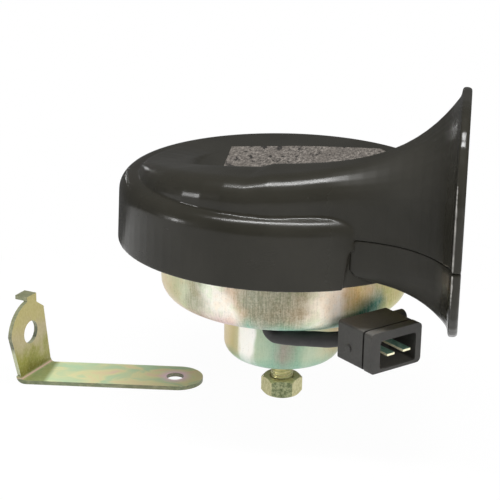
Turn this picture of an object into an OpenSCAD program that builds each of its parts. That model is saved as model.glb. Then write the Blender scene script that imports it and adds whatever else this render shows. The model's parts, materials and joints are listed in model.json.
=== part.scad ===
// Snail horn: a coiled moulded trumpet on a plated steel housing with its striker, coil and contacts inside.
// The origin is the centre of the cup's flat bottom, where the stud leaves. +Z points up, +X out of the bell.

/* [Housing] */
// Outer radius of the small cup that holds the coil
cup_r = 21.2; // [20.6:0.1:24]
// Depth of the cup, from its bottom to the bowl's floor
cup_h = 23.3; // [20:0.1:28]
// Corner radius at the cup's bottom
cup_corner = 5.5; // [3:0.1:7]
// Outer radius of the bowl
bowl_r = 43.7; // [42:0.1:46]
// Height of the bowl, from its floor to the underside of its flange
bowl_h = 30.2; // [28:0.1:34]
// Corner radius at the bowl's bottom
bowl_corner = 6.3; // [4:0.1:7]
// Width of the bowl's flange, from the bowl's wall to its rim
flange_w = 10.3; // [9.5:0.1:14]
// Thickness of the sheet steel
sheet = 1.2; // [0.8:0.1:1.5]
// Length of the stud below the cup
stud_l = 15.7; // [10:0.1:40]
// Radius of the stud
stud_r = 4; // [3:0.5:5]

/* [Trumpet] */
// Gap between the flange's rim and the inside of the skirt at its lower edge
skirt_gap = 2.4; // [1.8:0.1:4]
// How far the skirt hangs below the underside of the flange
skirt_drop = 9.2; // [4:0.1:16]
// Draft of the skirt, as the radius lost up to its shoulder
skirt_draft = 0.6; // [0:0.1:1.2]
// Radius of the rounded shoulder above the skirt
shoulder_r = 6; // [4:0.1:7]
// Wall of the moulding
wall = 2.4; // [1.8:0.1:3]
// Height of the air passage under the top plate
passage_h = 6.1; // [5:0.1:10]
// Ledge between the skirt and the raised coil where the coil begins, at the left
ledge_start = 8.3; // [7:0.1:11]
// Ledge between the skirt and the raised coil at the front
ledge_end = 4.8; // [4:0.1:6.6]
// Width of the raised coil where it begins
coil_w_start = 17; // [15:0.1:22]
// Width of the raised coil at the front
coil_w_end = 28; // [26:0.1:32]
// Angle at which the raised coil starts, counted from the bell's direction
coil_start = 140; // [120:1:170]
// Height of the raised coil above the top plate at the front
coil_rise = 10.5; // [6:0.1:14]
// Width of the bell's mouth
mouth_w = 77; // [66:0.1:84]
// Height of the bell's mouth
mouth_h = 73.4; // [66:0.1:84]
// Height of the mouth's centre above the cup's bottom
mouth_z = 68.9; // [64:0.1:74]
// Corner radius of the mouth
mouth_corner = 30; // [20:0.5:33]
// How far the mouth's plane lies outside the skirt
mouth_reach = 3.3; // [2:0.1:14]
// Width of the rolled bead round the mouth
bead_w = 3.3; // [2:0.1:5]
// How far the bead stands out of the bell
bead_t = 0.7; // [0.3:0.1:1.5]

/* [Connector] */
// Width of the connector housing
plug_w = 21.6; // [17:0.1:24]
// Height of the connector housing
plug_h = 14; // [12:0.1:18]
// Depth of the connector housing
plug_d = 17; // [13:0.1:20]
// Width of a blade
blade_w = 3.2; // [2.4:0.1:4]
// Thickness of a blade
blade_t = 0.8; // [0.6:0.1:1.2]
// Distance between the blades' centres
blade_pitch = 6.8; // [5:0.1:8]
// Radius of the rubber sleeve
sleeve_r = 2.7; // [2:0.1:3]

/* [Bracket] */
// Thickness of the bracket's strip
strip_t = 1.5; // [1.2:0.1:2.5]
// Width of the long leg
leg_w = 18.6; // [16:0.1:24]
// Length of the long leg, from the bend to its hole
leg_l = 52; // [30:0.5:90]
// Radius of the hole in the long leg
leg_hole_r = 3.2; // [2:0.1:4.5]
// Width of the upright
upright_w = 21.6; // [20:0.1:24]
// Height of the big hole's centre above the leg's underside
upright_hole_h = 17.9; // [16:0.1:26]
// Radius of the hole in the upright, which passes the stud
upright_hole_r = 4.3; // [4:0.1:5]

/* [Striker and contacts] */
// Radius of the pole core
core_r = 8.4; // [7:0.1:9]
// Length of the pole core above the cup's floor
core_h = 16.8; // [12:0.1:20]
// Air gap between the core and the armature at rest
air_gap = 0.9; // [0.7:0.1:1.5]
// Radius of the armature
armature_r = 8; // [6.5:0.1:8.2]
// Thickness of the diaphragm
diaphragm_t = 0.5; // [0.3:0.1:0.6]
// Thickness of each gasket
gasket_t = 0.8; // [0.5:0.1:1.2]
// How far the diaphragm is dished down at its centre
dish = 2.4; // [1.5:0.1:2.4]
// Thickness of the contact springs
spring_t = 0.5; // [0.3:0.1:0.8]

/* [Hidden] */
$fn = 96;

// Colours
black = "#3b3a36";
dark = "#2b2b2a";
zinc = "#cbbf8f";
brass = "#c9a94e";
copper = "#b06a3a";
steel = "#9a9a96";
rubber = "#262626";
fibre = "#8a5a3c";

flange_r = bowl_r + flange_w;
skirt_r = flange_r + skirt_gap + wall;
mouth_x = skirt_r + mouth_reach;
coil_out_start = skirt_r - ledge_start;
coil_out_end = skirt_r - ledge_end;
coil_in_start = coil_out_start - coil_w_start;
coil_in_end = coil_out_end - coil_w_end;

// Heights of the clamped stack, from the flange upwards
flange_z = cup_h + bowl_h;
gasket_lower_z = flange_z + sheet;
diaphragm_z = gasket_lower_z + gasket_t;
gasket_upper_z = diaphragm_z + diaphragm_t;
floor_z = gasket_upper_z + gasket_t;
floor_top = floor_z + wall;
seam_z = floor_top + 1.4;
plate_z = floor_top + passage_h;
top_z = plate_z + wall;
skirt_z = flange_z - skirt_drop;
skirt_top_r = skirt_r - skirt_draft;
shoulder_z = top_z - shoulder_r;
shoulder_c = skirt_top_r - shoulder_r;
ring_in = skirt_r - wall;
fit = 0.3;
eps = 0.01;

// Shared helpers
function arc(cx, cy, r, a0, a1, n = 6) = [for (i = [0 : n]) let (a = a0 + (a1 - a0) * i / n)
    [cx + r * cos(a), cy + r * sin(a)]];
function flare(x, k) = exp((min(x, mouth_x - 2) - (mouth_x - 2)) / k);
function mix(a, b, t) = a + (b - a) * t;
function ease(t) = t * t * (3 - 2 * t);

// The trumpet's tube. A station is a coil angle up to the front, then a distance along the bell.
// Each station gives its outer and inner edges, its top and bottom, and its two corner radii.

// Distance of the mouth's centre in front of the stud's axis
mouth_shift = 2;
mouth_off = (coil_out_end + coil_in_end) / 2 - mouth_shift;
mouth_side = mouth_off + mouth_w / 2;
mouth_inner = mouth_off - mouth_w / 2;
coil_n = 16;
coil_angles = [for (i = [0 : coil_n - 1]) coil_start + (270 - coil_start) * i / coil_n];
bell_n = 16;
bead_x = mouth_x - bead_w;
bell_x = [for (i = [0 : bell_n]) bead_x * (1 - pow(1 - i / bell_n, 1.5))];
arc_n = 8;

function coil_t(a) = (a - coil_start) / (270 - coil_start);
function coil_edge(a) = mix(coil_out_start, coil_out_end, ease(coil_t(a)));
function coil_inner(a) = mix(coil_in_start, coil_in_end, coil_t(a));
function coil_top(a) = top_z - 0.1 + (coil_rise + 0.1) * pow(sin(90 * coil_t(a)), 1.9);
function coil_round(a) = min(8, coil_top(a) - top_z + 1.9);

function bell_edge(x) = coil_out_end - waist * ease(min(1, x / waist_x))
    + (mouth_side - coil_out_end + waist) * flare(x, 11.4);
function bell_inner(x) = coil_in_end + (mouth_inner - coil_in_end) * flare(x, 13);
function bell_top(x) = top_z + coil_rise + 0.3
    + (mouth_z + mouth_h / 2 - top_z - coil_rise - 0.3) * flare(x, 18);
bell_base = seam_z - 12.2;
function bell_bottom(x) = bell_base - (bell_base - mouth_z + mouth_h / 2) * flare(x, 14.5);
function bell_round(x) = 8 + (mouth_corner - 8) * flare(x, 16);
low_corner = 1.6;

// One arch: from the foot at the outer edge, over the two rounded corners, to the foot at the inner edge.
// up is 1 for an arch above the foot and -1 for one below it.
function arch(q0, q1, foot, crown, r0, r1, up) = concat(
    [[q0, foot]],
    [for (i = [0 : arc_n]) let (a = 90 * i / arc_n)
        [q0 - r0 + r0 * cos(a), crown - up * (r0 - r0 * sin(a))]],
    [for (i = [0 : arc_n]) let (a = 90 + 90 * i / arc_n)
        [q1 + r1 + r1 * cos(a), crown - up * (r1 - r1 * sin(a))]],
    [[q1, foot]]);
function place_coil(a, p) = [p[0] * cos(a), p[0] * sin(a), p[1]];
function place_bell(x, p) = [x, -p[0], p[1]];

// The outer and inner skins of a station, grown by g
function coil_arch(a, foot, g) = [for (p = arch(coil_edge(a) + g, coil_inner(a) - g, foot,
    coil_top(a) + g, coil_round(a) + g, coil_round(a) + g, 1)) place_coil(a, p)];
function bell_arch_up(x, foot, g) = [for (p = arch(bell_edge(x) + g, bell_inner(x) - g, foot,
    bell_top(x) + g, bell_round(x) + g, bell_round(x) + g, 1)) place_bell(x, p)];
function low_round(x) = min(low_corner + (mouth_corner - low_corner) * flare(x, 14), seam_z - bell_bottom(x) - 0.5);
function bell_arch_down(x, foot, g) = [for (p = arch(bell_edge(x) + g, bell_inner(x) - g, foot,
    bell_bottom(x) - g, low_round(x) + g, low_round(x) + g, -1)) place_bell(x, p)];
function flip(list) = [for (i = [len(list) - 1 : -1 : 0]) list[i]];

// Rings of points skinned into a closed solid, each ring being an outer run and an inner run reversed
module skin_shell(rings) {
    m = len(rings);
    n = len(rings[0]);
    h = n / 2;
    sides = [for (i = [0 : m - 2], j = [0 : n - 1]) let (k = (j + 1) % n)
        each [[i * n + j, i * n + k, (i + 1) * n + k], [i * n + j, (i + 1) * n + k, (i + 1) * n + j]]];
    ends = [for (j = [0 : h - 2]) let (a = j, b = j + 1, c = n - 2 - j, d = n - 1 - j, e = (m - 1) * n)
        each [[a, c, b], [a, d, c], [e + a, e + b, e + c], [e + a, e + c, e + d]]];
    polyhedron(points = [for (r = rings) each r], faces = concat(sides, ends), convexity = 8);
}
module skin_solid(rings) {
    m = len(rings);
    n = len(rings[0]);
    sides = [for (i = [0 : m - 2], j = [0 : n - 1]) let (k = (j + 1) % n)
        each [[i * n + j, i * n + k, (i + 1) * n + k], [i * n + j, (i + 1) * n + k, (i + 1) * n + j]]];
    ends = [[for (j = [n - 1 : -1 : 0]) j], [for (j = [0 : n - 1]) (m - 1) * n + j]];
    polyhedron(points = [for (r = rings) each r], faces = concat(sides, ends), convexity = 8);
}

// How far the coil's outer wall draws in before the bell opens
waist = 5;
waist_x = 26;
// Foot of the raised coil, inside the thickness of the top plate
coil_foot = plate_z + 0.6;
bell_stations = concat(
    [for (x = bell_x) [x, x, 0]],
    [[bead_x + 0.3, mouth_x, bead_t], [mouth_x - 0.7, mouth_x, bead_t], [mouth_x, mouth_x, bead_t - 0.6]]);
low_from = 5;

function coil_arch_in(a, foot, g) = [for (p = arch(coil_edge(a) - g, coil_inner(a) + g, foot,
    max(coil_top(a) - g, foot + 0.4), max(coil_round(a) - g, 0.3), max(coil_round(a) - g, 0.3), 1))
    place_coil(a, p)];
function up_foot(x) = x < 3 ? coil_foot : seam_z;

module trumpet_tube_upper() {
    coil = [for (a = coil_angles) concat(coil_arch(a, coil_foot, 0),
        flip(coil_arch_in(a, coil_foot, wall)))];
    bell = [for (s = bell_stations) concat(
        [for (p = bell_arch_up(s[1], up_foot(s[0]), s[2])) [s[0], p[1], p[2]]],
        flip(bell_arch_up(s[0], up_foot(s[0]), -wall)))];
    skin_shell(concat(coil, bell));
}

// The hollow of the tube, reaching half way into its wall, that opens the top plate and the skirt
passage_start = coil_start + 36.5;
module passage_cut() {
    angles = concat([passage_start], [for (a = coil_angles) if (a > passage_start + 1) a]);
    coil = [for (a = angles) coil_arch_in(a, plate_z - 1, wall / 2)];
    bell = [for (s = bell_stations) bell_arch_up(s[0], s[0] < 3 ? plate_z - 1 : seam_z - 0.2, -wall / 2)];
    skin_solid(concat(coil, bell));
}

// The notch in the skirt through which the lower half of the bell passes
module bell_notch(g) {
    lo = floor_z - 0.05;
    skin_solid([for (x = [for (i = [low_from : bell_n]) bell_x[i]]) let (a = bell_edge(x) + g,
        b = bell_inner(x) - g) [[x, -a, lo], [x, -a, seam_z], [x, -b, seam_z], [x, -b, lo]]]);
}

// Under the bell the skirt steps in behind a slanted face. A grown copy of the recess reaches into the skirt.
recess_step = 1.8;
recess_r = skirt_r - recess_step;
recess_end = 2;
gusset_top = [waist_x + 1.4, seam_z + 0.4];
gusset_foot = [waist_x - 1.1, skirt_z + 0.2];
module under_bell(r_in, r_out, grow, low) {
    intersection() {
        translate([0, 0, low]) difference() {
            cylinder(r = r_out, h = floor_z - 0.05 - low);
            translate([0, 0, -1]) cylinder(r = r_in, h = floor_z - low + 2);
        }
        translate([0, grow - recess_end, 0]) rotate([90, 0, 0]) linear_extrude(skirt_r + 5)
            polygon([[gusset_foot[0] - grow, skirt_z - 1], [gusset_top[0] - grow, gusset_top[1]],
                [skirt_r + 5, gusset_top[1]], [skirt_r + 5, skirt_z - 1]]);
    }
}

module trumpet_cap() {
    rotate_extrude()
        polygon(concat([[skirt_r, skirt_z]],
            arc(shoulder_c, shoulder_z, shoulder_r, 0, 90, 8),
            [[0, top_z], [0, plate_z]],
            arc(shoulder_c, shoulder_z, shoulder_r - wall, 90, 0, 5),
            [[ring_in, skirt_z]]));
}

module trumpet_upper() color(black) {
    difference() {
        trumpet_cap();
        passage_cut();
        bell_notch(0.1);
        under_bell(recess_r, skirt_r + 1, 0, skirt_z - 1);
    }
    under_bell(recess_r - wall, recess_r, 2, skirt_z + 0.2);
    trumpet_tube_upper();
}

// The lower moulding: floor over the diaphragm, spiral walls of the air passage and the bell's lower half
throat_r = 7;
rib = 2;
disc_r = skirt_top_r - wall;
floor_in = disc_r - 6;
screw_n = 6;
screw_pcr = (bowl_r + flange_r) / 2 + 0.7;
screw_r = 1.9;
boss_r = 3.6;
function inner_rho(a) = mix(throat_r + rib, coil_in_end + rib / 2, (a + 180) / 450);
function outer_rho(a) = mix((coil_in_end + rib / 2) * sqrt(2), disc_r - rib, (a + 45) / 185);
module at_screws() {
    for (i = [0 : screw_n - 1]) rotate(360 / screw_n * i) translate([screw_pcr, 0, 0]) children();
}
module spiral_wall(pts_out, pts_in) {
    translate([0, 0, floor_top - eps]) linear_extrude(plate_z - floor_top + eps)
        polygon(concat(pts_out, flip(pts_in)));
}
function polar(r, a) = [r * cos(a), r * sin(a)];
module passage_walls() {
    a_in = [for (i = [0 : 29]) -180 + 15 * i];
    a_out = [for (i = [0 : 12]) -36 + 176 / 12 * i];
    spiral_wall([for (a = a_in) polar(inner_rho(a) + rib / 2, a)],
        [for (a = a_in) polar(inner_rho(a) - rib / 2, a)]);
    spiral_wall([for (a = a_out) polar(outer_rho(a) + rib / 2, a)],
        [for (a = a_out) polar(outer_rho(a) - rib / 2, a)]);
    translate([0, -coil_in_end - rib, floor_top - eps])
        cube([coil_in_end + rib, rib, seam_z - floor_top + eps]);
}
low_stations = [for (i = [low_from : len(bell_stations) - 1]) bell_stations[i]];

// Slope from the floor's edge down to the bottom of the bell, round the skirt
module bell_slope() {
    rotate_extrude() polygon([[floor_in, floor_top - 1], [disc_r - 1, floor_top - 1], [disc_r - 0.5, floor_top - 0.2],
        [skirt_r - 1.8, floor_top - 0.4], [skirt_r + 0.7, floor_top - 1.8],
        [skirt_r + 3.2, floor_top - 6.2], [skirt_r + 6.2, floor_top - 13.2], [skirt_r + 10.2, floor_top - 21.2],
        [skirt_r + 15.2, floor_top - 29.2], [skirt_r + 15.2, floor_top - 40], [floor_in, floor_top - 40]]);
}
module bell_lower() {
    difference() {
        skin_solid([for (s = low_stations) flip([for (p = bell_arch_down(s[1], seam_z, s[2]))
            [s[0], p[1], p[2]]])]);
        difference() {
            skin_solid([for (s = concat([[low_stations[0][0] - 1, 0, 0]], low_stations, [[mouth_x + 1, 0, 0]]))
                flip(bell_arch_down(s[0], seam_z + 1, -wall))]);
            bell_slope();
        }
    }
}
module trumpet_lower() color(black) difference() {
    union() {
        translate([0, 0, floor_z]) cylinder(r = disc_r, h = wall);
        passage_walls();
        translate([0, 0, floor_top - eps]) at_screws() cylinder(r = boss_r, h = 4, $fn = 32);
        difference() {
            bell_lower();
            translate([0, 0, floor_z - 30]) cylinder(r = recess_r + 0.1, h = 30 + fit);
        }
    }
    translate([0, 0, floor_z - 1]) cylinder(r = throat_r, h = wall + 2);
    translate([0, 0, floor_z - 1]) at_screws() cylinder(r = screw_r + 0.05, h = 5.5, $fn = 32);
}

// Blank label area: a rough raised panel on the top plate
label_t = 0.4;
label_l = 60.3;
label_w = 28.7;
label_x = -22.3;
label_y = -1.2;
label_tilt = 7.7;
label_rise = 8.4;
label_cut = 8;
module label_panel() color("#6a6259") translate([label_x, label_y, top_z]) linear_extrude(label_t)
    polygon([[0, 0], [label_l, label_tilt], [label_l, label_w - label_cut / 2],
        [label_l - label_cut, label_w + label_rise], [label_l * 0.62, label_w + label_rise * 0.89],
        [label_l * 0.38, label_w + label_rise * 0.7], [-label_t * 4, label_w]]);

// Pressed steel housing: cup, bowl and flange in one sheet
bend_r = 1.5;
base_d = 9;
base_gap = 1.4;
base_y = bowl_r - bowl_corner - base_gap - base_d;
grommet_gap = 9.3;
grommet_at = [-1, -cup_r - grommet_gap];
neck_r = 4;
bush_x = 13;
bush_at = [bush_x, base_y + 0.5];
module housing_profile() {
    polygon(concat(
        [[0, 0]],
        arc(cup_r - cup_corner, cup_corner, cup_corner, -90, 0, 8),
        arc(cup_r + bend_r, cup_h - bend_r, bend_r, 180, 90, 5),
        arc(bowl_r - bowl_corner, cup_h + bowl_corner, bowl_corner, -90, 0, 8),
        arc(bowl_r + bend_r, flange_z - bend_r, bend_r, 180, 90, 5),
        [[flange_r, flange_z], [flange_r, flange_z + sheet]],
        arc(bowl_r + bend_r, flange_z - bend_r, bend_r + sheet, 90, 180, 5),
        arc(bowl_r - bowl_corner, cup_h + bowl_corner, bowl_corner - sheet, 0, -90, 8),
        arc(cup_r + bend_r, cup_h - bend_r, bend_r + sheet, 90, 180, 5),
        arc(cup_r - cup_corner, cup_corner, cup_corner - sheet, 0, -90, 8),
        [[0, sheet]]));
}
module housing() color(zinc) difference() {
    rotate_extrude() housing_profile();
    translate([0, 0, -1]) cylinder(r = stud_r + 0.2, h = sheet + 2);
    translate([grommet_at[0], grommet_at[1], cup_h - 1]) cylinder(r = neck_r + 0.05, h = sheet + 2);
    translate([bush_at[0], bush_at[1], cup_h - 1]) cylinder(r = neck_r + 0.05, h = sheet + 2);
    for (x = [-rivet_x, rivet_x]) translate([x, rivet_y, cup_h - 1])
        cylinder(r = rivet_r + 0.05, h = sheet + 2, $fn = 32);
    translate([0, 0, flange_z - 1]) at_screws() cylinder(r = screw_r + 0.2, h = sheet + 2, $fn = 32);
}

// Pole core with its threaded stud, standing on the cup's floor
core_top = sheet + core_h;
module pole_core_stud() color(brass) rotate_extrude()
    polygon([[0, -stud_l], [stud_r - 0.8, -stud_l], [stud_r, -stud_l + 0.8], [stud_r, sheet],
        [core_r, sheet], [core_r, core_top - 0.6], [core_r - 0.6, core_top], [0, core_top]]);

// Hexagon nut on the stud, its corners chamfered
nut_af = 13;
nut_h = 6.4;
nut_turn = 8;
module mounting_nut() color(brass) {
    half = nut_af / 2;
    corner = half / cos(30);
    bore = stud_r + 0.05;
    translate([0, 0, -stud_l]) difference() {
        intersection() {
            rotate(nut_turn) cylinder(r = corner, h = nut_h, $fn = 6);
            rotate_extrude() polygon([[0, 0], [half - 0.1, 0], [corner + 0.1, 0.8],
                [corner + 0.1, nut_h - 0.8], [half - 0.1, nut_h], [0, nut_h]]);
        }
        translate([0, 0, -1]) cylinder(r = bore, h = nut_h + 2);
        rotate_extrude() polygon([[0, -eps], [bore + 0.6, -eps], [bore, 0.6], [0, 0.6]]);
        rotate_extrude() polygon([[0, nut_h + eps], [bore + 0.6, nut_h + eps],
            [bore, nut_h - 0.6], [0, nut_h - 0.6]]);
    }
}

// Coil on its bobbin, standing in the cup
bobbin_r = cup_r - sheet - 0.5;
bobbin_h = 29.3;
bobbin_flange = 1.2;
bobbin_bore = core_r + fit;
spool_r = bobbin_bore + 1.3;
module coil_bobbin() color(fibre) rotate_extrude()
    polygon([[bobbin_bore, sheet], [cup_r - cup_corner, sheet], [cup_r - cup_corner, sheet + bobbin_flange],
        [spool_r, sheet + bobbin_flange], [spool_r, sheet + bobbin_h - bobbin_flange],
        [bobbin_r, sheet + bobbin_h - bobbin_flange], [bobbin_r, sheet + bobbin_h],
        [bobbin_bore, sheet + bobbin_h]]);
turns = 14;
wind_r = cup_r - cup_corner - 0.4;
module coil_winding() color(copper) {
    z0 = sheet + bobbin_flange;
    span = bobbin_h - 2 * bobbin_flange;
    pitch = span / turns;
    rotate_extrude() polygon(concat([[spool_r, z0]],
        [for (i = [0 : turns - 1]) each [[wind_r - 0.5, z0 + i * pitch], [wind_r, z0 + (i + 0.3) * pitch],
            [wind_r, z0 + (i + 0.7) * pitch]]],
        [[wind_r - 0.5, z0 + span], [spool_r, z0 + span]]));
}

// Striker: armature, collar, diaphragm, washer and nut
armature_z = core_top + air_gap;
dish_z = diaphragm_z - dish;
pin_r = 2.5;
washer_r = 9;
washer_t = 1.2;
armature_nut_h = 3.2;
collar_r = 13;
collar_t = 2;
collar_z = sheet + bobbin_h + 8.5;
module armature() color(steel) rotate_extrude()
    polygon([[0, armature_z], [armature_r - 0.5, armature_z], [armature_r, armature_z + 0.5],
        [armature_r, dish_z], [pin_r, dish_z],
        [pin_r, dish_z + diaphragm_t + washer_t + armature_nut_h + 0.6],
        [0, dish_z + diaphragm_t + washer_t + armature_nut_h + 0.6]]);
module armature_collar() color(fibre) translate([0, 0, collar_z]) difference() {
    cylinder(r = collar_r, h = collar_t);
    translate([0, 0, -1]) cylinder(r = armature_r, h = collar_t + 2);
}
clamp_in = bowl_r + bend_r;
module diaphragm() color(steel) difference() {
    rotate_extrude() polygon([[pin_r + 0.2, dish_z], [12, dish_z], [clamp_in - 1, diaphragm_z],
        [flange_r, diaphragm_z], [flange_r, diaphragm_z + diaphragm_t],
        [clamp_in - 1, diaphragm_z + diaphragm_t], [12, dish_z + diaphragm_t],
        [pin_r + 0.2, dish_z + diaphragm_t]]);
    translate([0, 0, diaphragm_z - 1]) at_screws() cylinder(r = screw_r + 0.2, h = 3, $fn = 32);
}
module diaphragm_washer() color(steel) translate([0, 0, dish_z + diaphragm_t]) difference() {
    cylinder(r = washer_r, h = washer_t);
    translate([0, 0, -1]) cylinder(r = pin_r + 0.1, h = washer_t + 2);
}
module armature_nut() color(steel) translate([0, 0, dish_z + diaphragm_t + washer_t]) difference() {
    cylinder(r = 4.6, h = armature_nut_h, $fn = 6);
    translate([0, 0, -1]) cylinder(r = pin_r + 0.02, h = armature_nut_h + 2);
}
module gasket(z) color(rubber) translate([0, 0, z]) difference() {
    cylinder(r = flange_r, h = gasket_t);
    translate([0, 0, -1]) cylinder(r = clamp_in, h = gasket_t + 2);
    translate([0, 0, -1]) at_screws() cylinder(r = screw_r + 0.2, h = gasket_t + 2, $fn = 32);
}
module gasket_lower() gasket(gasket_lower_z);
module gasket_upper() gasket(gasket_upper_z);
module flange_screws() color(zinc) at_screws() translate([0, 0, flange_z]) rotate_extrude($fn = 32)
    polygon([[0, -2.2], [2.8, -2.2], [3.5, -1.5], [3.5, 0], [screw_r, 0],
        [screw_r, floor_z - flange_z + 4], [0, floor_z - flange_z + 4.4]]);

// Contact set on the bowl's floor
base_w = 16;
base_z = cup_h + sheet;
rivet_x = 6;
rivet_y = base_y + 6.5;
rivet_r = 1.25;
arm_z = collar_z - fit - spring_t;
slot_gap = 0.15;
point_h = 1.4;
fixed_z = arm_z + spring_t + 2 * point_h;
fixed_t = 0.8;
fixed_w = 8;
fixed_hold = 6;
base_top = fixed_z + fixed_t + 1;
arm_w = 7;
arm_hold = 3;
arm_end = collar_r - 2.5;
point_y = base_y - 3;
point_r = 1.6;
screw_tip_r = 2.5;
module contact_base() color("#3a2a22") difference() {
    translate([-base_w / 2, base_y, base_z]) cube([base_w, base_d, base_top - base_z]);
    translate([-arm_w / 2 - slot_gap, base_y - 1, arm_z - slot_gap])
        cube([arm_w + 2 * slot_gap, 1 + arm_hold + slot_gap, spring_t + 2 * slot_gap]);
    fixed_arm_shape();
    for (x = [-rivet_x, rivet_x]) translate([x, rivet_y, base_z - 1])
        cylinder(r = rivet_r + 0.05, h = base_top - base_z + 2, $fn = 32);
}
module fixed_arm_shape() {
    half = fixed_w / 2;
    translate([-half, point_y - half, fixed_z]) cube([fixed_w, base_y + fixed_hold - point_y + half, fixed_t]);
    translate([0, bush_at[1] - half, fixed_z]) cube([bush_at[0] + half - 0.5, fixed_w, fixed_t]);
}
module contact_rivets() color(brass) for (x = [-rivet_x, rivet_x]) translate([x, rivet_y, 0])
    rotate_extrude($fn = 32) polygon([[0, cup_h - 0.8], [2, cup_h - 0.8], [2.4, cup_h], [rivet_r, cup_h],
        [rivet_r, base_top], [2.4, base_top], [2, base_top + 0.8], [0, base_top + 0.8]]);
module moving_contact_arm() color(brass)
    translate([-arm_w / 2, arm_end, arm_z]) cube([arm_w, base_y + arm_hold - arm_end, spring_t]);
module moving_point() color(steel)
    translate([0, point_y, arm_z + spring_t]) cylinder(r = point_r, h = point_h, $fn = 32);
module fixed_contact_arm() color(brass) fixed_arm_shape();
module fixed_point() color(steel)
    translate([0, point_y, fixed_z - point_h]) cylinder(r = point_r, h = point_h, $fn = 32);

// Adjusting screw in its swaged bush; its tip carries the fixed arm's ear
module adjusting_bush() color(brass) translate([bush_at[0], bush_at[1], 0]) rotate_extrude($fn = 48)
    polygon([[screw_tip_r + 0.05, cup_h - 1], [5, cup_h - 1], [5, cup_h], [neck_r, cup_h],
        [neck_r, base_z], [4.8, base_z], [4.8, base_z + 1], [neck_r, base_z + 1.4],
        [neck_r, base_z + 4], [screw_tip_r + 0.05, base_z + 4]]);
module adjusting_screw() color(steel) translate([bush_at[0], bush_at[1], 0]) difference() {
    rotate_extrude($fn = 48) polygon([[0, cup_h - 3.6], [4, cup_h - 3.6], [4.3, cup_h - 3.3],
        [4.3, cup_h - 1.05], [screw_tip_r, cup_h - 1.05], [screw_tip_r, fixed_z], [0, fixed_z]]);
    translate([-5, -0.6, cup_h - 4]) cube([10, 1.2, 1.4]);
}

// Spark-suppressing resistor on top of the contact base
module resistor() color("#a08868") {
    r = 2;
    y = base_y + 2;
    translate([-6, y, base_top + r]) rotate([0, 90, 0]) cylinder(r = r, h = 12, $fn = 32);
    translate([-base_w / 2 - 0.8, y, base_top + r]) rotate([0, 90, 0])
        cylinder(r = 0.4, h = base_w + 1.6, $fn = 24);
    translate([-base_w / 2 - 0.4, y, base_z + 8]) cylinder(r = 0.4, h = base_top + r - base_z - 8, $fn = 24);
    translate([base_w / 2 + 0.4, y, fixed_z + fixed_t]) cylinder(r = 0.4, h = base_top + r - fixed_z - fixed_t,
        $fn = 24);
}

// Swept leads. A route is smoothed by a spline and skinned with a round section.
function spline_pt(p0, p1, p2, p3, t) = 0.5 * ((2 * p1) + (p2 - p0) * t
    + (2 * p0 - 5 * p1 + 4 * p2 - p3) * t * t + (3 * p1 - p0 - 3 * p2 + p3) * t * t * t);
function spline(r, n) = let (m = len(r) - 1) concat(
    [for (i = [0 : m - 1], j = [0 : n - 1]) spline_pt(i == 0 ? 2 * r[0] - r[1] : r[i - 1], r[i], r[i + 1],
        i == m - 1 ? 2 * r[m] - r[m - 1] : r[i + 2], j / n)], [r[m]]);
function unit(v) = v / norm(v);
module lead(route, r, sides, ref, n = 2, start = [0, 0, 0]) {
    p = spline(route, n);
    m = len(p) - 1;
    tangent = [for (i = [0 : m]) unit(i == 0 ? (norm(start) > 0 ? start : route[1] - route[0])
        : i == m ? route[len(route) - 1] - route[len(route) - 2] : p[i + 1] - p[i - 1])];
    skin_solid([for (i = [0 : m]) let (u = unit(cross(tangent[i], ref)), v = cross(u, tangent[i]))
        [for (j = [0 : sides - 1]) p[i] + r * (u * cos(360 / sides * j) + v * sin(360 / sides * j))]]);
}
gx = grommet_at[0];
gy = grommet_at[1];
grommet_top = base_z + 1.5;
grommet_drop = 1.4;
lead_r = 1;
coil_route = [[gx + 1.5, gy, grommet_top], [gx + 1.5, gy, grommet_top + 2], [gx + 1.4, gy + 2, grommet_top + 4.6],
    [gx + 1, gy + 7, sheet + bobbin_h + 1.4], [gx + 0.6, gy + 11, sheet + bobbin_h + 1.02],
    [gx + 0.5, gy + 14, sheet + bobbin_h + 1.02]];
contact_route = [[gx - 1.5, gy, grommet_top], [gx - 1.5, gy, grommet_top + 2], [gx - 6, gy + 1.5, 30],
    [-22, -20, 31], [-29, -6, 31], [-30, 8, 32], [-24, 21, 33], [-15, 28, 33.5],
    [-base_w / 2 - 1.2 - lead_r, base_y + 2, base_z + 6]];
module coil_lead() color("#202020") lead(coil_route, lead_r, 8, [1, 0, 0]);
module contact_lead() color("#7a1f1a") lead(contact_route, lead_r, 8, [0, 0.3, 1]);
module grommet() color(rubber) translate([gx, gy, 0]) rotate_extrude($fn = 48)
    polygon([[0, cup_h - grommet_drop], [4.6, cup_h - grommet_drop], [5, cup_h - 1], [5, cup_h], [neck_r, cup_h],
        [neck_r, base_z], [4.8, base_z], [4.4, grommet_top], [0, grommet_top]]);

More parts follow.
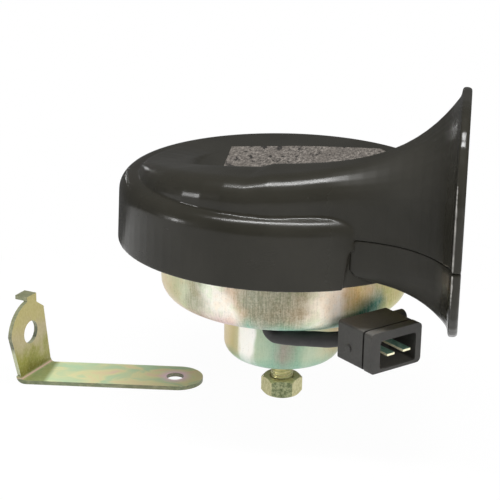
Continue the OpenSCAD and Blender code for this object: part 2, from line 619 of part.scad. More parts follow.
// Two-way connector at the end of the sleeve, opening outwards
plug_dir = -48.4;
plug_turn = -45.5;
plug_gap = 3.4;
plug_radius = bowl_r + plug_gap + plug_d / 2;
plug_at = [plug_radius * cos(plug_dir), plug_radius * sin(plug_dir), cup_h + 0.4];
socket_w = plug_w - 6.4;
socket_h = plug_h - 4.2;
socket_side = 0.8;
socket_drop = 1;
socket_d = plug_d - 4.2;
collar_d = 3.4;
groove = 0.5;
module at_plug() translate(plug_at) rotate(plug_turn) children();
module rounded_block(d, w, h, r) {
    rotate([90, 0, 90]) linear_extrude(d) polygon(concat(
        arc(w / 2 - r, h / 2 - r, r, 0, 90, 4), arc(-w / 2 + r, h / 2 - r, r, 90, 180, 4),
        arc(-w / 2 + r, -h / 2 + r, r, 180, 270, 4), arc(w / 2 - r, -h / 2 + r, r, 270, 360, 4)));
}
module connector_body() color(dark) at_plug() difference() {
    union() {
        translate([-plug_d / 2, 0, 0]) rounded_block(plug_d - collar_d - 1.2, plug_w - 0.6, plug_h - 0.6, 0.9);
        translate([-plug_d / 2 + 1, 0, 0])
            rounded_block(plug_d - 2, plug_w - 0.6 - 2 * groove, plug_h - 0.6 - 2 * groove, 1);
        translate([plug_d / 2 - collar_d, 0, 0]) rounded_block(collar_d, plug_w, plug_h, 1.6);
        translate([-plug_d / 2 + 3.4, plug_w / 2 - 1, 4]) rotate([-90, 0, 0])
            cylinder(r = 2.3, h = 4.6, $fn = 32);
        translate([-plug_d / 2 + 5.4, -plug_w / 2 + 1, -1.5]) rotate([90, 0, 0])
            cylinder(r = 1.3, h = 1.1, $fn = 32);
    }
    translate([plug_d / 2 - socket_d, socket_side, -socket_drop])
        rounded_block(socket_d + 1, socket_w, socket_h, 1);
    for (side = [-1, 1]) blade_shape(side);
}
blade_drop = 1.7;
blade_side = 1.6;
blade_root = 2.4;
module blade_shape(side) {
    translate([-plug_d / 2 + blade_root, blade_side + side * blade_pitch / 2 - blade_w / 2,
        -blade_drop - blade_t / 2])
        cube([plug_d - blade_root - 0.4, blade_w, blade_t]);
}
module blade_left() color(zinc) at_plug() blade_shape(-1);
module blade_right() color(zinc) at_plug() blade_shape(1);
function plug_pt(x, y, z) = plug_at + [x * cos(plug_turn) - y * sin(plug_turn),
    x * sin(plug_turn) + y * cos(plug_turn), z];
sleeve_bend = 3.1;
sleeve_heading = -24;
sleeve_low = cup_h - grommet_drop - sleeve_bend;
sleeve_route = concat([for (t = [0 : 30 : 90]) [gx + sleeve_bend * (1 - cos(t)) * cos(sleeve_heading),
        gy + sleeve_bend * (1 - cos(t)) * sin(sleeve_heading), cup_h - grommet_drop - sleeve_bend * sin(t)]],
    [[gx + 5.4, gy - 2.2, sleeve_low + 0.1], [gx + 9, gy - 3.1, sleeve_low + 0.4],
        [gx + 13, gy - 4.1, sleeve_low + 0.8], [gx + 17, gy - 5, sleeve_low + 1.3],
        [gx + 21, gy - 5.8, sleeve_low + 1.7], plug_pt(-plug_d / 2 - 2.4, -5, -1.9),
        plug_pt(-plug_d / 2 - 1, -5, -1.8), plug_pt(-plug_d / 2, -5, -1.8)]);
module lead_sleeve() color(rubber) lead(sleeve_route, sleeve_r, 12, [0, 1, 0], 2, [0, 0, -1]);

// Mounting bracket, lying loose beside the horn: a long leg, a bend and a leaning upright with a hooked tab
leg_at = [-40.1, 2.6];
leg_turn = 4.9;
skew = 22.6;
lean = 11;
bend_in = 1.5;
bend_out = bend_in + strip_t;
tab_l = 4.6;
tab_w = 6;
up_round = 12.4;
tab_rise = 0.2;
leg_past = 1;
bend_inset = 0.05;
module upright_shape() {
    hw = upright_w / 2 / cos(lean);
    off = tan(lean);
    hx = -off * upright_hole_h + 0.9;
    h0 = bend_out;
    foot = leg_w / 2 / cos(skew) - 0.3;
    polygon(concat(
        [[foot, h0], [hw - off * 24.5, 24.5], [hx + tab_w + 2.8, upright_hole_h + 7.4],
            [hx + tab_w - 1.8, upright_hole_h + up_round - 1.8],
            [hx + tab_w - 1.8, upright_hole_h + up_round + tab_rise],
            [hx - 1.8, upright_hole_h + up_round + tab_rise]],
        arc(hx, upright_hole_h, up_round, 98, 172, 8),
        [[-foot, h0]]));
}
module mounting_bracket() color(zinc)
    translate([leg_at[0], leg_at[1], -stud_l]) rotate(leg_turn) {
        difference() {
            linear_extrude(strip_t) {
                translate([leg_past, 0]) circle(r = leg_w / 2);
                near = -leg_l - tan(skew) * leg_w / 2 + bend_in / cos(skew);
                far = -leg_l + tan(skew) * leg_w / 2 + bend_in / cos(skew);
                polygon([[leg_past, -leg_w / 2], [leg_past, leg_w / 2], [far, leg_w / 2], [near, -leg_w / 2]]);
            }
            translate([0, 0, -1]) cylinder(r = leg_hole_r, h = strip_t + 2);
        }
        translate([-leg_l, 0, 0]) rotate(-skew) {
            upright_y = leg_w / 2 / cos(skew);
            intersection() {
                rotate([90, 0, 0]) translate([bend_in, bend_out, -upright_y - 2]) linear_extrude(2 * upright_y + 4)
                    difference() {
                        intersection() {
                            circle(r = bend_out);
                            translate([-bend_out, -bend_out]) square(bend_out);
                        }
                        circle(r = bend_in);
                    }
                rotate(skew) translate([-leg_w, -leg_w / 2 + bend_inset, -1])
                    cube([2 * leg_w, leg_w - 2 * bend_inset, bend_out + 2]);
            }
            difference() {
                rotate([90, 0, 90]) translate([0, 0, -strip_t]) linear_extrude(strip_t) upright_shape();
                translate([-strip_t - 1, -tan(lean) * upright_hole_h + 0.9, upright_hole_h])
                    rotate([0, 90, 0]) cylinder(r = upright_hole_r, h = strip_t + 2);
            }
            translate([-strip_t - tab_l + 1, -tan(lean) * upright_hole_h + 0.9 - 1.8,
                upright_hole_h + up_round + tab_rise - eps])
                cube([tab_l + strip_t - 1, tab_w, strip_t]);
        }
    }

trumpet_upper();
trumpet_lower();
label_panel();
housing();
pole_core_stud();
mounting_nut();
coil_bobbin();
coil_winding();
armature();
armature_collar();
diaphragm();
diaphragm_washer();
armature_nut();
gasket_lower();
gasket_upper();
flange_screws();
contact_base();
contact_rivets();
moving_contact_arm();
moving_point();
fixed_contact_arm();
fixed_point();
adjusting_bush();
adjusting_screw();
resistor();
coil_lead();
contact_lead();
grommet();
lead_sleeve();
connector_body();
blade_left();
blade_right();
mounting_bracket();
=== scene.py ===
import json
import math

import bmesh
import bpy
from mathutils import Matrix, Vector


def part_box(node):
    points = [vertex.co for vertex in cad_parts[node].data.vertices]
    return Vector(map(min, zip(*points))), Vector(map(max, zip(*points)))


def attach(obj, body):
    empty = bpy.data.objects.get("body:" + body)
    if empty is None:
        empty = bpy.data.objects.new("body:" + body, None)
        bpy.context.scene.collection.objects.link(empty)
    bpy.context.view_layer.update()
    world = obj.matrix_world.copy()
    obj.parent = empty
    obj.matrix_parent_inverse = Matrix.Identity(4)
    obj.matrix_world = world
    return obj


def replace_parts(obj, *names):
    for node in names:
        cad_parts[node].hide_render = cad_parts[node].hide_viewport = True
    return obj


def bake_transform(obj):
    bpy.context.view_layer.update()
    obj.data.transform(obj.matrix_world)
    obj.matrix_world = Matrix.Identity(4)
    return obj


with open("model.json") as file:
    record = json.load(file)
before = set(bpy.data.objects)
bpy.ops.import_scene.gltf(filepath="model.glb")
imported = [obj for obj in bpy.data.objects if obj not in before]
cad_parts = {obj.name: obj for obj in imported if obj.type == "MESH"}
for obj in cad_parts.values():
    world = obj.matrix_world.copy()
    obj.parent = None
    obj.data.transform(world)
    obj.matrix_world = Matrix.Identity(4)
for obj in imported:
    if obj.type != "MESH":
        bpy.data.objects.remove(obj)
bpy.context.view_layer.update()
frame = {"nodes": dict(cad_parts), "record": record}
nodes = frame["nodes"]
MM = 0.001

# Places that the finishes and the skins go by
STUD_LOW, STUD_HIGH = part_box("pole_core_stud")
CUP_TOP = 23.3 * MM
BELL_DULLS = (0.018, 0.040)
BELL_CLEARS = (0.054, 0.057)
BEAD_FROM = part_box("trumpet_upper")[1].x - 4.2 * MM
# direction that the bead's painted highlight faces
BEAD_HIGHLIGHT_FACING = (-0.55, -0.835, 0.0)
FLOOR_Z = min(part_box("mounting_nut")[0].z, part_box("mounting_bracket")[0].z)
LEG_HOLE = Vector((-40.1, 2.6, 0.0)) * MM
LEG_HOLE_R = 3.2 * MM
LEG_TOP = -14.2 * MM
BEND_X = -92.0 * MM
UPRIGHT_NORMAL = (0.953, -0.304, 0.0)
# the nut's flats that get painted shade face along this direction
NUT_SHADED_FLAT = (0.17, -0.985, 0.0)
UP = (0.0, 0.0, 1.0)


def placed(name, data):
    """A new object of the scene, at the origin."""
    obj = bpy.data.objects.new(name, data)
    bpy.context.scene.collection.objects.link(obj)
    return obj


# Camera, fitted to the photograph's view
CAMERA_AT = Vector((61.27, -506.35, 211.76)) * MM
CAMERA_HEADING = 8.286
CAMERA_TILT = 71.23
CAMERA_ROLL = 0.93
CAMERA_LENS = 109.5


def make_camera():
    data = bpy.data.cameras.new("camera")
    data.lens = CAMERA_LENS
    data.sensor_width = 36.0
    data.clip_start = 0.01
    camera = placed("camera", data)
    camera.matrix_world = (
        Matrix.Translation(CAMERA_AT)
        @ Matrix.Rotation(math.radians(CAMERA_HEADING), 4, "Z")
        @ Matrix.Rotation(math.radians(CAMERA_TILT), 4, "X")
        @ Matrix.Rotation(math.radians(CAMERA_ROLL), 4, "Z")
    )
    bpy.context.scene.camera = camera


# Node helpers
class Shade:
    """A material under construction: each call adds one node and gives its output."""

    def __init__(self, name):
        self.material = bpy.data.materials.new(name)
        self.material.use_nodes = True
        self.tree = self.material.node_tree
        self.bsdf = self.tree.nodes["Principled BSDF"]
        self.place = self.tree.nodes.new("ShaderNodeTexCoord").outputs["Object"]

    def add(self, kind, **inputs):
        node = self.tree.nodes.new(kind)
        for name, value in inputs.items():
            self.feed(node.inputs[name.replace("_", " ")], value)
        return node

    def feed(self, socket, value):
        if isinstance(value, bpy.types.NodeSocket):
            self.tree.links.new(value, socket)
        else:
            socket.default_value = value

    def stretched(self, scale, place=None):
        node = self.add("ShaderNodeMapping", Vector=place or self.place, Scale=scale)
        return node.outputs["Vector"]

    def round_place(self):
        """Coordinates that run round the stud's axis: turn, height and radius."""
        split = self.add("ShaderNodeSeparateXYZ", Vector=self.place)
        turn = self.math("ARCTAN2", split.outputs["Y"], split.outputs["X"])
        flat = self.add("ShaderNodeCombineXYZ", X=split.outputs["X"], Y=split.outputs["Y"])
        length = self.tree.nodes.new("ShaderNodeVectorMath")
        length.operation = "LENGTH"
        self.feed(length.inputs[0], flat.outputs["Vector"])
        return self.add(
            "ShaderNodeCombineXYZ", X=turn, Y=split.outputs["Z"], Z=length.outputs["Value"]
        ).outputs["Vector"]

    def noise(self, scale, detail=3.0, roughness=0.5, place=None, distortion=0.0):
        node = self.add(
            "ShaderNodeTexNoise",
            Vector=place or self.place,
            Scale=scale,
            Detail=detail,
            Roughness=roughness,
            Distortion=distortion,
        )
        return node.outputs["Fac"]

    def cells(self, scale, place=None):
        node = self.add("ShaderNodeTexVoronoi", Vector=place or self.place, Scale=scale)
        return node.outputs["Distance"]

    def math(self, operation, a, b=0.0):
        node = self.tree.nodes.new("ShaderNodeMath")
        node.operation = operation
        self.feed(node.inputs[0], a)
        self.feed(node.inputs[1], b)
        return node.outputs["Value"]

    def ranged(self, value, low, high, to_low=0.0, to_high=1.0):
        node = self.add("ShaderNodeMapRange", Value=value)
        node.inputs["From Min"].default_value = low
        node.inputs["From Max"].default_value = high
        node.inputs["To Min"].default_value = to_low
        node.inputs["To Max"].default_value = to_high
        return node.outputs["Result"]

    def ramp(self, value, stops):
        node = self.add("ShaderNodeValToRGB", Fac=value)
        band = node.color_ramp
        while len(band.elements) < len(stops):
            band.elements.new(0.5)
        for element, (at, colour) in zip(band.elements, stops):
            element.position = at
            element.color = (*colour, 1.0)
        return node.outputs["Color"]

    def mixed(self, share, a, b, blend="MIX"):
        node = self.tree.nodes.new("ShaderNodeMix")
        node.data_type = "RGBA"
        node.blend_type = blend
        self.feed(node.inputs["Factor"], share)
        self.feed(node.inputs[6], a)
        self.feed(node.inputs[7], b)
        return node.outputs[2]

    def bump(self, height, strength, distance, under=None):
        node = self.add("ShaderNodeBump", Height=height, Strength=strength, Distance=distance)
        if under is not None:
            self.feed(node.inputs["Normal"], under)
        return node.outputs["Normal"]

    def facing(self, way):
        """How far the surface faces a direction: 1 straight along it, -1 straight away."""
        node = self.tree.nodes.new("ShaderNodeVectorMath")
        node.operation = "DOT_PRODUCT"
        self.feed(node.inputs[0], self.tree.nodes["Texture Coordinate"].outputs["Normal"])
        node.inputs[1].default_value = way
        return node.outputs["Value"]

    def across(self, normal):
        """1 where the surface stands square to the given normal, 0 where it lies along it."""
        return self.ranged(self.math("ABSOLUTE", self.facing(normal)), 0.2, 0.6, 1.0, 0.0)

    def surface(self, **inputs):
        for name, value in inputs.items():
            self.feed(self.bsdf.inputs[name.replace("_", " ")], value)
        return self.material


def rgba(r, g, b):
    return (r, g, b, 1.0)


# Materials
def black_plastic():
    """Moulded black plastic: duller on the bell's side, with a painted highlight: a pale streak along the
    bead's edge.
    """
    s = Shade("black_plastic")
    sink = s.noise(34.0, detail=2.0, roughness=0.4)
    peel = s.noise(1100.0, detail=2.0)
    smear = s.noise(60.0, detail=5.0, roughness=0.6, place=s.stretched((1.0, 1.0, 2.6)))
    tone = s.noise(48.0, detail=4.0)
    colour = s.ramp(tone, [(0.3, (0.0175, 0.0165, 0.0125)), (0.75, (0.025, 0.0235, 0.0185))])
    relief = s.bump(peel, 0.12, 0.00006, s.bump(sink, 0.5, 0.0005))
    along = s.add("ShaderNodeSeparateXYZ", Vector=s.place).outputs["X"]
    dull = s.ranged(along, *BELL_DULLS, 0.0, 0.38)
    dull = s.math("MULTIPLY", dull, s.ranged(along, *BELL_CLEARS, 1.0, 0.0))
    bead = s.ranged(along, BEAD_FROM, BEAD_FROM + 0.0008)
    # painted highlight: a pale streak on the bead where it faces this direction, broken up by the smear
    bead_highlight = s.math("MULTIPLY", bead, s.ranged(s.facing(BEAD_HIGHLIGHT_FACING), 0.93, 0.985, 0.0, 0.75))
    bead_highlight = s.math("MULTIPLY", bead_highlight, s.ranged(smear, 0.35, 0.6, 0.3, 1.0))
    colour = s.mixed(bead_highlight, colour, rgba(0.55, 0.53, 0.50))
    return s.surface(
        Base_Color=colour,
        Roughness=s.math("ADD", dull, s.ranged(smear, 0.3, 0.75, 0.17, 0.30)),
        Specular_IOR_Level=0.25,
        Normal=relief,
    )


def label_grey():
    """The rough grey-brown panel, with pits and dark holes."""
    s = Shade("label_grey")
    place = s.stretched((1.0, 0.4, 1.0))
    grain = s.noise(1000.0, detail=4.0, roughness=0.75, place=place)
    pits = s.cells(900.0, place)
    blotch = s.noise(150.0, detail=5.0, roughness=0.65, place=place)
    colour = s.ramp(
        grain,
        [
            (0.36, (0.040, 0.036, 0.032)),
            (0.50, (0.115, 0.102, 0.090)),
            (0.66, (0.25, 0.225, 0.20)),
        ],
    )
    colour = s.mixed(s.ranged(blotch, 0.42, 0.62, 0.0, 0.45), colour, rgba(0.085, 0.074, 0.064))
    holes = s.ranged(s.noise(380.0, detail=3.0, roughness=0.5, place=place), 0.33, 0.40, 0.9, 0.0)
    colour = s.mixed(holes, colour, rgba(0.012, 0.011, 0.010))
    return s.surface(
        Base_Color=colour,
        Roughness=0.8,
        Specular_IOR_Level=0.3,
        Normal=s.bump(s.math("ADD", grain, pits), 0.5, 0.0003),
    )


def bloom_at(degrees):
    """Place on a colour ramp of a direction round the stud's axis."""
    return (degrees + 180.0) / 360.0


# Bloom of the passivated pressing: degrees round the stud's axis, and the colour there; the near-white
# bands are painted highlights and the dark teal bands a painted reflection of the connector
BOWL_BLOOM_AND_HIGHLIGHTS = [
    (-170.0, (0.66, 0.52, 0.26)),
    (-144.0, (0.62, 0.58, 0.34)),
    (-130.0, (0.62, 0.66, 0.46)),
    (-123.0, (0.34, 0.34, 0.22)),
    # painted highlight: the white band on the bowl's left
    (-117.0, (0.96, 0.94, 0.84)),
    (-109.3, (0.97, 0.92, 0.82)),
    (-104.5, (0.60, 0.46, 0.33)),
    (-99.0, (0.25, 0.26, 0.18)),
    (-83.4, (0.20, 0.19, 0.12)),
    (-74.0, (0.30, 0.25, 0.16)),
    # painted highlight: the pinkish-white band on the bowl's right
    (-68.0, (0.88, 0.78, 0.64)),
    (-57.5, (0.96, 0.86, 0.76)),
    (-51.7, (0.74, 0.54, 0.30)),
    (-46.0, (0.86, 0.62, 0.26)),
    (-39.0, (0.70, 0.56, 0.34)),
    (-29.0, (0.64, 0.55, 0.18)),
    (-17.0, (0.62, 0.57, 0.16)),
    (-3.0, (0.60, 0.52, 0.14)),
    (60.0, (0.62, 0.50, 0.26)),
    (140.0, (0.56, 0.54, 0.30)),
    (170.0, (0.66, 0.52, 0.26)),
]
CUP_BLOOM_AND_HIGHLIGHT = [
    (-176.0, (0.62, 0.46, 0.20)),
    (-150.0, (0.66, 0.54, 0.28)),
    (-132.5, (0.60, 0.56, 0.34)),
    # painted highlight: the white band on the cup
    (-128.0, (0.98, 0.97, 0.90)),
    (-113.5, (0.98, 0.97, 0.92)),
    (-107.5, (0.44, 0.54, 0.38)),
    (-92.5, (0.29, 0.42, 0.31)),
    (-80.5, (0.30, 0.27, 0.22)),
    (-68.5, (0.30, 0.46, 0.32)),
    (-56.5, (0.56, 0.66, 0.48)),
    (-42.5, (0.62, 0.66, 0.46)),
    (-28.5, (0.52, 0.44, 0.24)),
    (-6.5, (0.40, 0.24, 0.08)),
    (60.0, (0.60, 0.54, 0.30)),
    (140.0, (0.46, 0.56, 0.38)),
    (172.0, (0.62, 0.46, 0.20)),
]
BEND_BLOOM_AND_REFLECTION = [
    (-176.0, (0.62, 0.44, 0.36)),
    (-134.0, (0.66, 0.40, 0.40)),
    (-112.0, (0.62, 0.44, 0.42)),
    (-100.0, (0.16, 0.50, 0.38)),
    (-90.0, (0.46, 0.50, 0.42)),
    (-80.0, (0.14, 0.50, 0.38)),
    (-62.0, (0.28, 0.56, 0.42)),
    # painted reflection: dark teal where the connector is mirrored in the bowl's lower edge
    (-46.0, (0.03, 0.24, 0.16)),
    (-35.0, (0.02, 0.17, 0.11)),
    (-27.0, (0.60, 0.54, 0.18)),
    (-5.0, (0.56, 0.50, 0.14)),
    (120.0, (0.20, 0.46, 0.36)),
    (168.0, (0.62, 0.44, 0.36)),
]


def zinc_plate():
    """Yellow-passivated pressing: the bloom's colour changes round the bowl, the cup and the bends, with
    painted highlights and a painted reflection in it.
    """
    s = Shade("zinc_plate")
    place = s.round_place()
    split = s.add("ShaderNodeSeparateXYZ", Vector=place)
    turn, height = split.outputs["X"], split.outputs["Y"]
    wander = s.noise(1.0, detail=3.0, place=s.stretched((2.6, 60.0, 60.0), place))
    turn = s.math("ADD", turn, s.ranged(wander, 0.3, 0.7, -0.10, 0.10))
    at = s.ranged(turn, -math.pi, math.pi)
    bowl = s.ramp(at, [(bloom_at(d), c) for d, c in BOWL_BLOOM_AND_HIGHLIGHTS])
    cup = s.ramp(at, [(bloom_at(d), c) for d, c in CUP_BLOOM_AND_HIGHLIGHT])
    bend = s.ramp(at, [(bloom_at(d), c) for d, c in BEND_BLOOM_AND_REFLECTION])
    level = s.math("ADD", height, s.ranged(wander, 0.3, 0.7, -0.0012, 0.0012))
    colour = s.mixed(s.ranged(level, CUP_TOP - 0.0014, CUP_TOP - 0.0004), cup, bowl)
    # the bend's colour climbs higher between -62 and -38 degrees, carrying the painted reflection up the
    # bowl
    reach = s.ranged(turn, math.radians(-62), math.radians(-38), 0.0, 0.0080)
    reach = s.math("MULTIPLY", reach, s.ranged(turn, math.radians(-30), math.radians(40), 1.0, 0.0))
    low = s.ranged(s.math("SUBTRACT", level, reach), CUP_TOP + 0.0002, CUP_TOP + 0.0070, 1.0, 0.0)
    over = s.ranged(level, CUP_TOP - 0.0012, CUP_TOP - 0.0004)
    foot = s.ranged(level, 0.0008, 0.0060, 0.75, 0.0)
    colour = s.mixed(s.math("MULTIPLY", s.math("POWER", low, 1.4), over), colour, bend)
    colour = s.mixed(foot, colour, rgba(0.26, 0.54, 0.40))
    patch = s.noise(170.0, detail=3.0, roughness=0.6)
    tinted = s.ranged(over, 0, 1, 0.1, 0.4)
    green = s.math("MULTIPLY", tinted, s.ranged(patch, 0.52, 0.62))
    pink = s.math("MULTIPLY", tinted, s.ranged(patch, 0.38, 0.48, 1.0, 0.0))
    colour = s.mixed(green, colour, rgba(0.78, 0.96, 0.74), "MULTIPLY")
    colour = s.mixed(pink, colour, rgba(1.0, 0.84, 0.70), "MULTIPLY")
    streak = s.noise(1.0, detail=6.0, roughness=0.75, place=s.stretched((120.0, 150.0, 60.0), place))
    speck = s.noise(1500.0, detail=3.0, roughness=0.7)
    grain = s.math("ADD", s.math("MULTIPLY", streak, 0.6), s.math("MULTIPLY", speck, 0.4))
    calm_end = s.ranged(turn, math.radians(-142), math.radians(-128), 0.3, 1.0)
    calm_end = s.math("MINIMUM", calm_end, s.ranged(turn, math.radians(140), math.radians(170), 1.0, 0.3))
    calm = s.math("MULTIPLY", calm_end, s.ranged(over, 0, 1, 0.4, 1))
    light = s.math("MULTIPLY", calm, s.ranged(grain, 0.46, 0.62, 0.0, 0.28))
    dark = s.math("MULTIPLY", calm, s.ranged(grain, 0.38, 0.54, 0.26, 0.0))
    colour = s.mixed(light, colour, rgba(0.90, 0.82, 0.68))
    colour = s.mixed(dark, colour, rgba(0.35, 0.33, 0.26), "MULTIPLY")
    return s.surface(
        Base_Color=colour,
        Metallic=0.38,
        Roughness=s.ranged(grain, 0.35, 0.65, 0.26, 0.38),
        Normal=s.bump(grain, 0.15, 0.0001),
    )


def zinc_strip():
    """Yellow-passivated strip: a pale patchy leg, an olive-gold upright and darker edges, with painted
    shade on the upright's edges and across its hole's wall.
    """
    s = Shade("zinc_strip")
    fine = s.noise(1.0, detail=6.0, roughness=0.7, place=s.stretched((300.0, 1900.0, 900.0)))
    drift = s.noise(1.0, detail=4.0, place=s.stretched((70.0, 110.0, 70.0)), distortion=1.0)
    split = s.add("ShaderNodeSeparateXYZ", Vector=s.place)
    mint = s.ranged(split.outputs["X"], -0.082, -0.066, 0.09, 0.0)
    leg = s.ramp(
        s.math("SUBTRACT", drift, mint),
        [
            (0.34, (0.52, 0.72, 0.46)),
            (0.44, (0.64, 0.74, 0.44)),
            (0.52, (0.80, 0.79, 0.44)),
            (0.60, (0.84, 0.74, 0.43)),
            (0.70, (0.84, 0.66, 0.50)),
        ],
    )
    cloud = s.ranged(drift, 0.3, 0.7, -0.16, 0.16)
    upright = s.ramp(
        s.math("ADD", s.ranged(split.outputs["Z"], -0.013, 0.012), cloud),
        [
            (0.0, (0.15, 0.14, 0.02)),
            (0.25, (0.24, 0.23, 0.04)),
            (0.42, (0.36, 0.31, 0.17)),
            (0.60, (0.38, 0.32, 0.18)),
            (0.85, (0.38, 0.33, 0.12)),
        ],
    )
    away = s.add(
        "ShaderNodeMapping", Vector=s.place, Location=(-LEG_HOLE.x, -LEG_HOLE.y, 0.0), Scale=(1, 1, 0)
    )
    reach = s.tree.nodes.new("ShaderNodeVectorMath")
    reach.operation = "LENGTH"
    s.feed(reach.inputs[0], away.outputs["Vector"])
    halo = s.ranged(reach.outputs["Value"], LEG_HOLE_R + 0.0004, LEG_HOLE_R + 0.0034, 0.7, 0.0)
    leg = s.mixed(halo, leg, rgba(0.96, 0.68, 0.86))
    near_bend = s.ranged(split.outputs["X"], BEND_X + 0.0050, BEND_X + 0.0070, 0.85, 0.0)
    leg = s.mixed(near_bend, leg, rgba(0.17, 0.20, 0.05))
    rise = s.ranged(split.outputs["Z"], LEG_TOP + 0.0002, LEG_TOP + 0.0016)
    colour = s.mixed(rise, leg, upright)
    fillet = s.math("MULTIPLY", s.ranged(rise, 0.0, 0.15, 0.0, 0.8), s.ranged(rise, 0.3, 0.6, 1.0, 0.0))
    colour = s.mixed(fillet, colour, rgba(0.62, 0.42, 0.34))
    leg_edge = s.math("MULTIPLY", s.across(UP), s.ranged(rise, 0.0, 0.5, 0.92, 0.0))
    colour = s.mixed(leg_edge, colour, rgba(0.10, 0.12, 0.065))
    # painted shade: the upright's edges are darkest at mid height, across its hole's wall, and lighter
    # towards the bottom
    upright_edge = s.math("MULTIPLY", s.across(UPRIGHT_NORMAL), s.ranged(rise, 0.5, 1.0, 0.0, 0.9))
    upright_edge_shade = s.ramp(
        s.ranged(split.outputs["Z"], -0.012, 0.012),
        [(0.38, (0.40, 0.42, 0.28)), (0.48, (0.05, 0.07, 0.05)), (0.8, (0.16, 0.18, 0.11))],
    )
    colour = s.mixed(upright_edge, colour, upright_edge_shade)
    colour = s.mixed(s.ranged(fine, 0.45, 0.7, 0.0, 0.2), colour, rgba(0.86, 0.80, 0.54))
    return s.surface(
        Base_Color=colour,
        Metallic=0.3,
        Roughness=s.ranged(fine, 0.3, 0.75, 0.28, 0.42),
        Normal=s.bump(fine, 0.14, 0.0001),
    )


def blade_plate():
    """Tinned blades: greenish flats and bright ends."""
    s = Shade("tin_plate")
    fine = s.noise(900.0, detail=4.0, roughness=0.6)
    flat = s.ranged(s.facing(UP), 0.5, 0.9)
    green = s.ramp(fine, [(0.35, (0.16, 0.34, 0.25)), (0.65, (0.38, 0.58, 0.46))])
    return s.surface(
        Base_Color=s.mixed(flat, rgba(0.92, 0.88, 0.60), green),
        Metallic=0.3,
        Roughness=s.ranged(fine, 0.3, 0.7, 0.3, 0.42),
        Normal=s.bump(fine, 0.12, 0.00005),
    )


def nut_plate():
    """Yellow-passivated nut: two opposite flats carry painted shade, darker, stippled and rougher; the
    rest is bright.
    """
    s = Shade("nut_olive")
    stipple = s.noise(900.0, detail=4.0, roughness=0.7)
    # painted shade: the two flats that face along this direction are darker
    flat = s.ranged(s.math("ABSOLUTE", s.facing(NUT_SHADED_FLAT)), 0.90, 0.97)
    pale = s.ramp(stipple, [(0.35, (0.44, 0.41, 0.18)), (0.7, (0.72, 0.67, 0.38))])
    shaded_flat_colour = s.ramp(stipple, [(0.38, (0.13, 0.16, 0.07)), (0.62, (0.42, 0.44, 0.25))])
    return s.surface(
        Base_Color=s.mixed(flat, pale, shaded_flat_colour),
        Metallic=0.45,
        Roughness=s.ranged(flat, 0, 1, 0.28, 0.5),
        Normal=s.bump(stipple, 0.2, 0.0001),
    )


def stud_gold():
    """Yellow-passivated thread."""
    s = Shade("stud_gold")
    tint = s.noise(420.0, detail=4.0, roughness=0.7)
    wear = s.noise(1400.0, detail=3.0)
    return s.surface(
        Base_Color=s.ramp(tint, [(0.35, (0.74, 0.66, 0.34)), (0.7, (0.86, 0.80, 0.50))]),
        Metallic=0.75,
        Roughness=s.ranged(wear, 0.3, 0.7, 0.26, 0.40),
        Normal=s.bump(wear, 0.12, 0.00008),
    )


def moulded(name, dark, light, roughness, grain_scale=1100.0, grain=0.25, painted_top_light=0.0):
    """Plastic, rubber or board with a fine grain; painted light can pale what faces up."""
    s = Shade(name)
    speck = s.noise(grain_scale, detail=3.0, roughness=0.6)
    colour = s.ramp(s.noise(130.0, detail=4.0), [(0.3, dark), (0.75, light)])
    if painted_top_light:
        # painted light: up-facing faces are paled, standing in for light that the trumpet's shade keeps
        # off
        colour = s.mixed(s.ranged(s.facing(UP), 0.6, 0.95, 0.0, painted_top_light), colour, rgba(0.30, 0.29, 0.27))
    return s.surface(
        Base_Color=colour,
        Roughness=s.ranged(speck, 0.3, 0.7, roughness, roughness + 0.12),
        Normal=s.bump(speck, grain, 0.0001),
    )


def metal(name, dark, light, roughness):
    """Bare metal with faint drawn lines."""
    s = Shade(name)
    lines = s.noise(1.0, detail=5.0, place=s.stretched((300.0, 300.0, 2400.0)))
    return s.surface(
        Base_Color=s.ramp(s.noise(200.0, detail=3.0), [(0.3, dark), (0.75, light)]),
        Metallic=1.0,
        Roughness=s.ranged(lines, 0.3, 0.7, roughness, roughness + 0.15),
        Normal=s.bump(lines, 0.12, 0.00005),
    )


MATERIALS = {
    "black_plastic": black_plastic(),
    "label_grey": label_grey(),
    "zinc_plate": zinc_plate(),
    "zinc_strip": zinc_strip(),
    "stud_gold": stud_gold(),
    "nut_olive": nut_plate(),
    "bobbin_board": moulded("bobbin_board", (0.20, 0.10, 0.05), (0.32, 0.18, 0.09), 0.6),
    "copper_wire": metal("copper_wire", (0.42, 0.14, 0.05), (0.66, 0.28, 0.12), 0.25),
    "plain_steel": metal("plain_steel", (0.42, 0.42, 0.40), (0.62, 0.62, 0.60), 0.26),
    "gasket_paper": moulded("gasket_paper", (0.018, 0.018, 0.018), (0.04, 0.04, 0.04), 0.7),
    "contact_brass": metal("contact_brass", (0.52, 0.36, 0.12), (0.76, 0.58, 0.26), 0.25),
    "contact_metal": metal("contact_metal", (0.5, 0.5, 0.5), (0.7, 0.7, 0.68), 0.2),
    "base_board": moulded("base_board", (0.05, 0.025, 0.015), (0.10, 0.055, 0.035), 0.45),
    "resistor_body": moulded("resistor_body", (0.40, 0.28, 0.16), (0.55, 0.42, 0.28), 0.5),
    "lead_black": moulded("lead_black", (0.015, 0.015, 0.015), (0.03, 0.03, 0.03), 0.4),
    "lead_red": moulded("lead_red", (0.16, 0.01, 0.01), (0.28, 0.03, 0.02), 0.4),
    "black_rubber": moulded(
        "black_rubber", (0.012, 0.012, 0.012), (0.030, 0.029, 0.027), 0.5, grain_scale=800.0, grain=0.35
    ),
    # the connector's top gets painted light
    "connector_plastic": moulded(
        "connector_plastic", (0.028, 0.027, 0.024), (0.044, 0.042, 0.038), 0.5, painted_top_light=0.22
    ),
    "tin_plate": blade_plate(),
}
